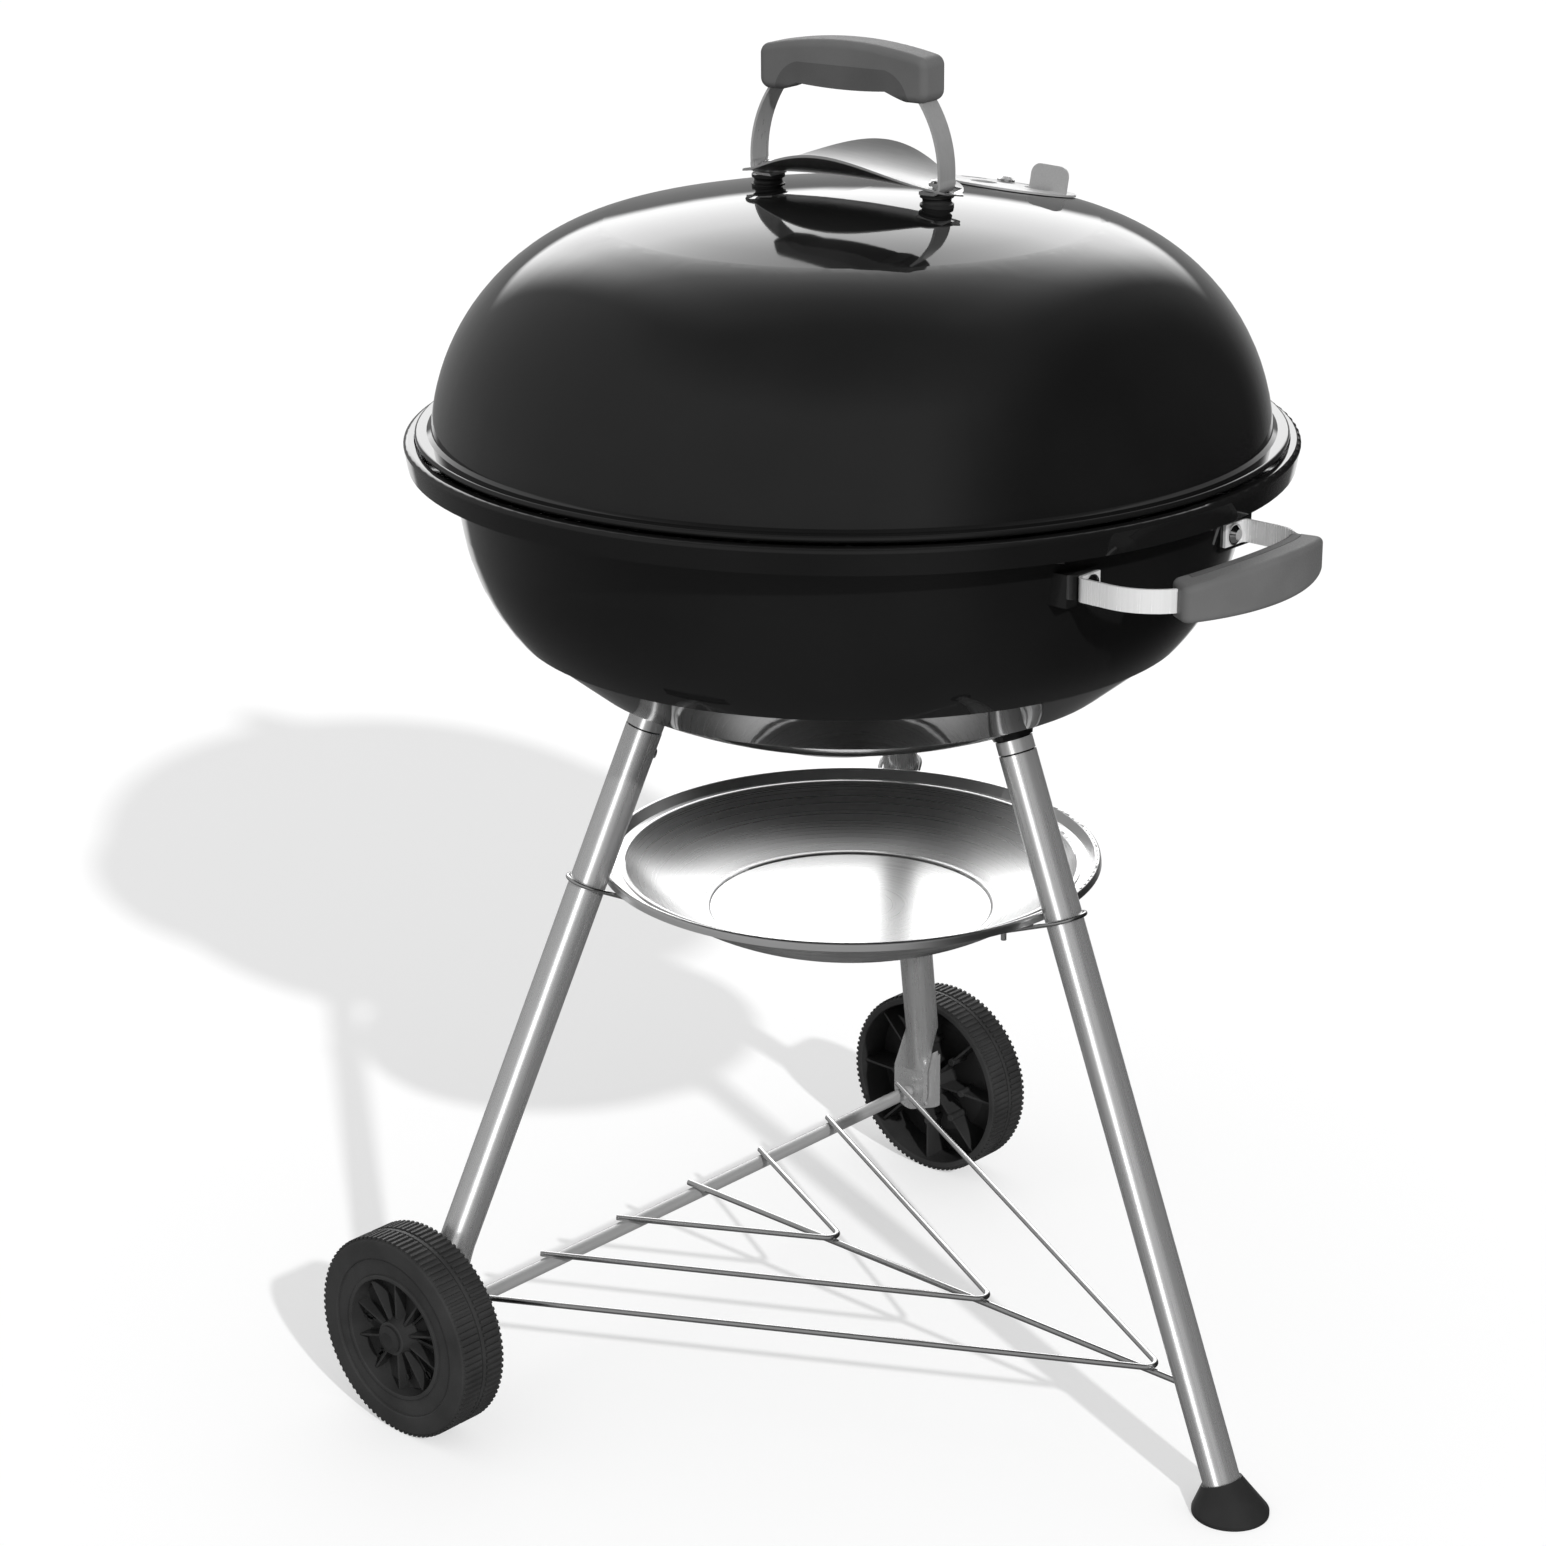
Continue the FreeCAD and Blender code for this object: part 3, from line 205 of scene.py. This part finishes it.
def make_sun():
    """Soft key light that casts the long shadow. It stays out of reflections."""
    data = bpy.data.lights.new("sun", "SUN")
    data.energy = SUN_STRENGTH
    data.angle = SUN_WIDTH
    sun = bpy.data.objects.new("sun", data)
    sun.rotation_mode = "QUATERNION"
    sun.rotation_quaternion = SUN_FROM.to_track_quat("Z", "Y")
    sun.visible_glossy = False
    bpy.context.scene.collection.objects.link(sun)


STRIP_BACK, STRIP_RIGHT = -1.81, -0.845    # from the kettle's axis, along the studio's directions
STRIP_WIDTH, STRIP_LOW, STRIP_TOP = 0.5, -1.6, 0.8
STRIP_RADIANCE = 3.0


def make_strip():
    """Upright strip light beside the camera, seen only in the tubes, as the streak down each leg.

    The tubes reflect downwards, so it reaches below the floor, and casts no shadow.
    """
    data = bpy.data.lights.new("strip", "AREA")
    data.shape = "RECTANGLE"
    height = STRIP_TOP - STRIP_LOW
    data.size, data.size_y = STRIP_WIDTH, height
    data.energy = STRIP_RADIANCE * math.pi * STRIP_WIDTH * height
    data.use_shadow = False
    strip = bpy.data.objects.new("strip", data)
    away = STUDIO_BACK * STRIP_BACK + STUDIO_RIGHT * STRIP_RIGHT
    middle = KETTLE_AXIS + away + Z_AXIS * (STRIP_LOW + STRIP_TOP) / 2
    strip.matrix_world = Matrix.Translation(middle) @ away.to_track_quat("Z", "Y").to_matrix().to_4x4()
    strip.visible_diffuse = False
    bpy.context.scene.collection.objects.link(strip)
    tubes = bpy.data.collections.new("tubes")
    for node in (*LEG_NODES, "leg_collars"):
        tubes.objects.link(NODES[node])
    strip.light_linking.receiver_collection = tubes


# How bright the white wall behind the grill is in reflections, by the sine of elevation.
WALL_FADE = ((0.0, 1.0), (0.38, 1.0), (0.5, 0.68), (0.6, 0.45), (0.7, 0.21), (0.8, 0.12), (0.9, 0.06),
             (1.0, 0.02))
WALL_LIGHT = 2.6
PATCH_LIGHT = 0.7           # lit floor behind the grill
ROOM_LIGHT = 0.34
DARK_SIDE = 0.02            # the room to the camera's right
EVEN_LIGHT = 0.74


def reflected_studio(graph, direction):
    """Radiance seen in reflections: a white wall and a patch of lit floor behind the grill, in a dim room."""
    back = graph.math_vector("DOT_PRODUCT", direction, tuple(STUDIO_BACK))
    right = graph.math_vector("DOT_PRODUCT", direction, tuple(STUDIO_RIGHT))
    up = graph.node("ShaderNodeSeparateXYZ", Vector=direction).outputs["Z"]
    aside = graph.math("ABSOLUTE", right, 0.0)
    ahead = graph.map_range(back, 0.0, 0.3, 0.0, 1.0)
    wall = graph.ramp(up, WALL_FADE)
    for mask in (graph.map_range(aside, 0.27, 0.5, 1.0, 0.0), graph.map_range(up, 0.13, 0.19, 0.0, 1.0),
                 ahead):
        wall = graph.math("MULTIPLY", wall, mask)
    patch = graph.map_range(aside, 0.3, 0.4, 1.0, 0.0)
    for mask in (graph.map_range(aside, 0.1, 0.14, 0.0, 1.0), graph.map_range(up, -0.4, -0.34, 0.0, 1.0),
                 graph.map_range(up, -0.26, -0.2, 1.0, 0.0), graph.map_range(back, 0.6, 0.85, 0.0, 1.0)):
        patch = graph.math("MULTIPLY", patch, mask)
    room = graph.map_range(right, 0.25, 0.75, ROOM_LIGHT, DARK_SIDE)
    for mask in (graph.map_range(up, 0.7, 1.0, 1.0, 0.4), graph.map_range(up, -0.6, 0.0, 0.3, 1.0)):
        room = graph.math("MULTIPLY", room, mask)
    wall = graph.math("MULTIPLY", wall, WALL_LIGHT)
    patch = graph.math("MULTIPLY", patch, PATCH_LIGHT)
    return graph.math("ADD", graph.math("ADD", wall, patch), room)


def make_world():
    """Even white for the camera and for matt surfaces, and the studio in reflections."""
    world = bpy.data.worlds.new("studio")
    bpy.context.scene.world = world
    world.use_nodes = True
    tree = world.node_tree
    tree.nodes.clear()
    graph = Graph(tree)
    direction = graph.node("ShaderNodeTexCoord").outputs["Generated"]
    rays = graph.node("ShaderNodeLightPath")
    studio = reflected_studio(graph, direction)
    glossy = graph.node("ShaderNodeBackground", Color=(1, 1, 1, 1), Strength=studio)
    even = graph.node("ShaderNodeBackground", Color=(1, 1, 1, 1), Strength=EVEN_LIGHT)
    mixed = graph.node("ShaderNodeMixShader")
    graph.link(rays.outputs["Is Glossy Ray"], mixed.inputs["Fac"])
    graph.link(even.outputs[0], mixed.inputs[1])
    graph.link(glossy.outputs[0], mixed.inputs[2])
    output = graph.node("ShaderNodeOutputWorld")
    graph.link(mixed.outputs[0], output.inputs["Surface"])


# ---- materials ----------------------------------------------------------------------------
def enamel_material():
    """Black vitreous enamel: deep gloss with a faint orange peel."""
    material, graph, shader = new_material("enamel", IOR=1.5)
    place = graph.coordinates()
    cloud = graph.noise(place, 9.0, 4.0)
    peel = graph.noise(place, 240.0, 2.0)
    graph.link(graph.blend(cloud, grey(0.0045), grey(0.006)), shader.inputs["Base Color"])
    graph.link(graph.map_range(cloud, 0.3, 0.7, 0.03, 0.06), shader.inputs["Roughness"])
    graph.link(graph.bump(peel, 0.03, 0.0002), shader.inputs["Normal"])
    return material


def plastic_material(name, dark, light, roughness, grain=900.0, depth=0.00012):
    """Moulded plastic with a fine spark-eroded grain."""
    material, graph, shader = new_material(name, IOR=1.46)
    place = graph.coordinates()
    cloud = graph.noise(place, 35.0, 4.0)
    fine = graph.noise(place, grain, 2.0)
    graph.link(graph.blend(cloud, dark, light), shader.inputs["Base Color"])
    graph.link(graph.map_range(fine, 0.3, 0.7, roughness - 0.06, roughness + 0.06),
               shader.inputs["Roughness"])
    graph.link(graph.bump(fine, 0.25, depth), shader.inputs["Normal"])
    return material


def drawn_material(name, level, roughness, turn=(0, 0, 0), stretch=(1.0, 1.0, 0.02), grain=700.0, metal=0.6):
    """Satin metal with fine lines along the stretched axis. Less metal makes it paler all round."""
    material, graph, shader = new_material(name, Metallic=metal)
    place = graph.coordinates(stretch, turn)
    lines = graph.noise(place, grain, 4.0, 0.6)
    cloud = graph.noise(graph.coordinates(), 14.0, 3.0)
    graph.link(graph.blend(lines, grey(level * 0.93), grey(level)), shader.inputs["Base Color"])
    uneven = graph.math("ADD", graph.math("MULTIPLY", lines, 0.14), graph.math("MULTIPLY", cloud, 0.08))
    graph.link(graph.math("ADD", uneven, roughness - 0.11), shader.inputs["Roughness"])
    graph.link(graph.bump(lines, 0.08, 0.00008), shader.inputs["Normal"])
    return material


def spun_material():
    """Bright spun sheet with fine rings round the kettle's axis."""
    material, graph, shader = new_material("spun_sheet", Metallic=1.0)
    place = graph.node("ShaderNodeTexCoord").outputs["Object"]
    centred = graph.tree.nodes.new("ShaderNodeVectorMath")
    centred.operation = "MULTIPLY_ADD"
    graph.link(place, centred.inputs[0])
    centred.inputs[1].default_value = (1, 1, 0)
    centred.inputs[2].default_value = (-KETTLE_AXIS.x, -KETTLE_AXIS.y, 0)
    length = graph.tree.nodes.new("ShaderNodeVectorMath")
    length.operation = "LENGTH"
    graph.link(centred.outputs[0], length.inputs[0])
    rings = graph.node("ShaderNodeTexNoise", Scale=900.0, Detail=2.0)
    rings.noise_dimensions = "1D"
    graph.link(length.outputs["Value"], rings.inputs["W"])
    cloud = graph.noise(place, 12.0, 3.0)
    graph.link(graph.blend(cloud, grey(0.80), grey(0.86)), shader.inputs["Base Color"])
    graph.link(graph.map_range(rings.outputs["Fac"], 0.3, 0.7, 0.27, 0.31), shader.inputs["Roughness"])
    graph.link(graph.bump(rings.outputs["Fac"], 0.012, 0.0001), shader.inputs["Normal"])
    return material


def chrome_material(name, level=0.78, roughness=0.16):
    """Plated wire: bright, with faint waviness from the plating."""
    material, graph, shader = new_material(name, Metallic=1.0)
    place = graph.coordinates()
    wave = graph.noise(place, 60.0, 3.0)
    fine = graph.noise(place, 500.0, 2.0)
    graph.link(graph.blend(wave, grey(level * 0.94), grey(level)), shader.inputs["Base Color"])
    graph.link(graph.map_range(fine, 0.3, 0.7, roughness - 0.05, roughness + 0.05),
               shader.inputs["Roughness"])
    graph.link(graph.bump(wave, 0.06, 0.0004), shader.inputs["Normal"])
    return material


def floor_material():
    """Pale sweep: most of its light is its own, so that only the sun's shadow shows on it."""
    material, graph, shader = new_material("pale_floor", Roughness=0.9)
    shader.inputs["Emission Strength"].default_value = 0.42
    cloud = graph.noise(graph.coordinates(), 0.8, 2.0)
    graph.link(graph.blend(cloud, grey(0.495), grey(0.505)), shader.inputs["Base Color"])
    shader.inputs["Emission Color"].default_value = (1, 1, 1, 1)
    return material


# ---- mesh building ------------------------------------------------------------------------
SMOOTH_ANGLE = math.radians(32)


class Shape:
    """Vertices and faces of one piece, collected from simple closed forms."""

    def __init__(self):
        self.verts = []
        self.faces = []

    def add(self, verts, faces):
        start = len(self.verts)
        self.verts += [Vector(v) for v in verts]
        self.faces += [tuple(start + i for i in face) for face in faces]

    def lathe(self, outline, steps):
        """Closed outline of (radius, height) points, turned about the local Z axis."""
        count = len(outline)
        verts = []
        for i in range(steps):
            angle = math.tau * i / steps
            verts += [(r * math.cos(angle), r * math.sin(angle), z) for r, z in outline]
        faces = []
        for i in range(steps):
            here, after = i * count, ((i + 1) % steps) * count
            for j in range(count):
                k = (j + 1) % count
                faces.append((here + j, after + j, after + k, here + k))
        self.add(verts, faces)

    def block(self, corners):
        """Eight corners: four below and the four above them, both anticlockwise from above."""
        faces = [(3, 2, 1, 0), (4, 5, 6, 7), (0, 1, 5, 4), (1, 2, 6, 5), (2, 3, 7, 6), (3, 0, 4, 7)]
        self.add(corners, faces)

    def sector_block(self, r_in, r_out, half_in, half_out, angle, low, high, chamfer=0.0):
        """Radial block between two radii. Its half widths are lengths, and the top can be narrower."""
        corners = []
        for z, inset in ((low, 0.0), (high, chamfer)):
            for r, half in ((r_in + inset, half_in - inset), (r_out - inset, half_out - inset)):
                corners.append([(r, -half, z), (r, half, z)])
        turn = Matrix.Rotation(angle, 3, "Z")
        ordered = []
        for k in (0, 2):
            inner, outer = corners[k], corners[k + 1]
            ordered += [inner[0], outer[0], outer[1], inner[1]]
        self.block([turn @ Vector(c) for c in ordered])

    def piece(self, name, place, material, body, node):
        """Makes the object, moved by the place matrix, that stands for a CAD node."""
        mesh = bpy.data.meshes.new(name)
        mesh.from_pydata([place @ v for v in self.verts], [], self.faces)
        mesh.validate()
        mesh.materials.append(material)
        mesh.shade_smooth()
        mesh.set_sharp_from_angle(angle=SMOOTH_ANGLE)
        made = bpy.data.objects.new(name, mesh)
        bpy.context.scene.collection.objects.link(made)
        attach(made, body)
        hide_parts(node)
        return made


# ---- wheels -------------------------------------------------------------------------------
CLEATS = 96
CLEAT_HEIGHT = 1.3 * MM
CLEAT_SHARE = 0.56          # cleat over pitch, along the tread
SPOKES = 10
RIBS = 8
HUB_RADIUS = 12 * MM
HUB_STEP = 1.5 * MM         # hub beyond the sidewall
DISH_RADIUS = 42.5 * MM     # mouth of the outer dish
DISH_DEPTH = 12 * MM
PANEL_FROM, PANEL_TO, PANEL_DEPTH = 46 * MM, 57 * MM, 1.6 * MM
HUB_BACK = 4 * MM           # inner end of the hub from the wheel's inner face
EDGE = 0.5 * MM             # rounding of the moulded edges


def wheel_outline(radius, w, bore):
    """Half section of the wheel from its bore, as (radius, distance from the inner face)."""
    tread = radius - CLEAT_HEIGHT
    hub_end, floor = w + HUB_STEP, w - DISH_DEPTH
    back = floor - 5 * MM
    front = [(bore, HUB_BACK), (bore, hub_end - EDGE), (bore + EDGE, hub_end),
             (HUB_RADIUS - 2 * EDGE, hub_end), (HUB_RADIUS, hub_end - EDGE),
             (HUB_RADIUS + EDGE, w - 5 * MM), (HUB_RADIUS + 3 * MM, floor),
             (24 * MM, floor - 1.5 * MM), (33 * MM, floor - 1.5 * MM), (DISH_RADIUS - 2 * MM, floor + MM)]
    lip = [(DISH_RADIUS, w - EDGE), (DISH_RADIUS + EDGE, w), (PANEL_FROM - 1.2 * MM, w),
           (PANEL_FROM - 0.4 * MM, w - EDGE), (PANEL_FROM, w - PANEL_DEPTH), (PANEL_TO, w - PANEL_DEPTH),
           (PANEL_TO + 0.4 * MM, w - EDGE), (PANEL_TO + 1.2 * MM, w)]
    shoulder = [(tread - 3.2 * MM, 0.0), (tread - 1.6 * MM, 0.3 * MM), (tread - EDGE, 1.4 * MM),
                (tread, 3 * MM)]
    inside = [(tread - 5 * MM, 0.0), (tread - 5.6 * MM, 0.8 * MM), (tread - 6 * MM, w - 9 * MM),
              (52 * MM, w - 11 * MM),
              (DISH_RADIUS + 2 * MM, back), (HUB_RADIUS + 5 * MM, back), (HUB_RADIUS + 2 * MM, back - 2 * MM),
              (HUB_RADIUS + MM, HUB_BACK + MM), (HUB_RADIUS, HUB_BACK)]
    return front + lip + [(r, w - z) for r, z in shoulder] + shoulder[::-1] + inside


def add_tread(shape, radius, width):
    """Two rows of cleats, half a pitch apart, with a rib between them."""
    base = radius - CLEAT_HEIGHT - 0.6 * MM
    shoulder, gap = 1.2 * MM, 2.2 * MM
    middle = width / 2
    rows = ((shoulder, middle - gap), (middle + gap, width - shoulder))
    half = math.pi * radius / CLEATS * CLEAT_SHARE
    for row, (low, high) in enumerate(rows):
        for i in range(CLEATS):
            angle = math.tau * (i + row / 2) / CLEATS
            turn = Matrix.Rotation(angle, 3, "Z")
            corners = []
            for r, inset in ((base, 0.0), (radius, 0.35 * MM)):
                for z, side in ((low, -1), (low, 1), (high, 1), (high, -1)):
                    edge = z + inset * (1 if z == low else -1)
                    corners.append(turn @ Vector((r, side * (half - inset), edge)))
            shape.add(corners, [(0, 1, 2, 3), (7, 6, 5, 4), (4, 5, 1, 0), (5, 6, 2, 1), (6, 7, 3, 2),
                                (7, 4, 0, 3)])
    ring = [(base, middle - 1.5 * MM), (radius - 0.5 * MM, middle - 1.2 * MM),
            (radius - 0.5 * MM, middle + 1.2 * MM), (base, middle + 1.5 * MM)]
    shape.lathe(ring, 144)


def add_spokes(shape, width):
    """Spokes that stand in the outer dish, wider at the hub."""
    for i in range(SPOKES):
        angle = math.tau * i / SPOKES
        shape.sector_block(HUB_RADIUS - MM, DISH_RADIUS - MM, 1.5 * MM, 1.1 * MM, angle,
                           width - DISH_DEPTH - 3 * MM, width - 4.5 * MM, EDGE)


def add_ribs(shape, radius, width):
    """Ribs and small round bosses in the hollow back."""
    for i in range(RIBS):
        angle = math.tau * i / RIBS
        shape.sector_block(HUB_RADIUS, radius - 6 * MM, 0.9 * MM, 0.9 * MM, angle,
                           HUB_BACK + MM, width - 10 * MM)
        turn = Matrix.Rotation(angle, 3, "Z")
        boss = Shape()
        boss.lathe([(0.3 * MM, 4 * MM), (2.6 * MM, 4 * MM), (3 * MM, 4.6 * MM), (3 * MM, width - 10 * MM),
                    (0.3 * MM, width - 10 * MM)], 20)
        shape.add([turn @ (v + X_AXIS * 34 * MM) for v in boss.verts], boss.faces)


def make_wheel(name, side, material):
    low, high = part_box(name)
    centre = (low + high) / 2
    radius = (high.z - low.z) / 2
    bore = (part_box("axle_rod")[1].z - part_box("axle_rod")[0].z) / 2 + 0.05 * MM
    width = high.x - low.x - HUB_STEP
    shape = Shape()
    shape.lathe(wheel_outline(radius, width, bore), 192)
    add_tread(shape, radius, width)
    add_spokes(shape, width)
    add_ribs(shape, radius, width)
    inner_x = low.x if side > 0 else high.x
    turn = Matrix.Rotation(math.radians(90 * side), 4, "Y")
    place = Matrix.Translation((inner_x, centre.y, centre.z)) @ turn
    shape.piece("detailed_" + name, place, material, name, name)


# ---- CAD nodes that keep their shape ------------------------------------------------------
LEG_RUN = 0.86              # a leg's own run over its box's diagonal, which the tube's width adds to


def leg_turn(node):
    """Rotation that brings a leg's direction onto Z, for lines along the tube."""
    low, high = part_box(node)
    outward = box_centre(node) - KETTLE_AXIS
    outward.z = 0
    axis = outward.normalized() * -math.hypot(high.x - low.x, high.y - low.y) * LEG_RUN
    axis.z = high.z - low.z
    return axis.rotation_difference(Z_AXIS).to_euler()


def paint(node, material):
    slots = NODES[node].data.materials
    if len(slots) == 0:
        slots.append(material)
    for i in range(len(slots)):
        slots[i] = material


def paint_nodes():
    enamel = enamel_material()
    grip = plastic_material("grip_plastic", grey(0.088), grey(0.098), 0.52)
    insert = plastic_material("insert_plastic", grey(0.06), grey(0.07), 0.58)
    black = plastic_material("black_plastic", grey(0.013), grey(0.018), 0.42)
    strap = drawn_material("strap_steel", 0.6, 0.3, metal=0.7)
    band = drawn_material("band_steel", 0.85, 0.26, metal=0.45)
    shield = drawn_material("shield_steel", 0.68, 0.32, stretch=(1.0, 0.03, 1.0), metal=0.96)
    damper = drawn_material("damper_sheet", 0.66, 0.36, stretch=(0.03, 1.0, 1.0))
    axle = drawn_material("axle_steel", 0.5, 0.34, stretch=(0.02, 1.0, 1.0))
    bright = chrome_material("bright_plating", 0.8, 0.18)
    wire = chrome_material("wire_plating", 0.74, 0.2)
    inner = drawn_material("inner_steel", 0.45, 0.45)
    for node in ("bowl", "lid", "leg_sockets", "bowl_handle_brackets"):
        paint(node, enamel)
    for node in ("bowl_handle_grip", "lid_handle_grip"):
        paint(node, grip)
    for node in ("bowl_handle_insert", "lid_handle_insert"):
        paint(node, insert)
    for node in ("foot_boot", "lid_handle_spacers", "hub_caps"):
        paint(node, black)
    paint("lid_handle_strap", strap)
    paint("bowl_handle_strap", band)
    paint("heat_shield", shield)
    for node in ("lid_damper", "bowl_damper_back", "bowl_damper_left", "bowl_damper_right"):
        paint(node, damper)
    for node in ("axle_rod", "axle_sleeve", "axle_plates"):
        paint(node, axle)
    for node in ("bowl_handle_bolts", "leg_buttons", "lid_handle_screws", "lid_handle_nuts",
                 "wheel_washers", "lid_damper_rivet", "bowl_damper_rivets"):
        paint(node, bright)
    for node in ("rack_outer_wire", "rack_middle_wire", "rack_inner_wire", "rack_centre_wire", "pan_clips",
                 "cooking_grate", "charcoal_grate"):
        paint(node, wire)
    for node in ("cooking_grate_tabs", "charcoal_grate_tabs", "lid_hook"):
        paint(node, inner)
    for node in LEG_NODES:
        paint(node, drawn_material(node + "_metal", 0.75, 0.28, tuple(leg_turn(node)), metal=0.85))
    paint("leg_collars", drawn_material("collar_metal", 0.72, 0.3, metal=0.85))
    paint("ash_pan", spun_material())


# ---- the scene ----------------------------------------------------------------------------
def main():
    bpy.context.scene.view_settings.view_transform = "Standard"
    make_camera()
    make_floor(floor_material())
    make_world()
    make_sun()
    make_strip()
    paint_nodes()
    wheel = plastic_material("wheel_plastic", grey(0.02), grey(0.028), 0.5)
    make_wheel("left_wheel", -1, wheel)
    make_wheel("right_wheel", 1, wheel)


main()
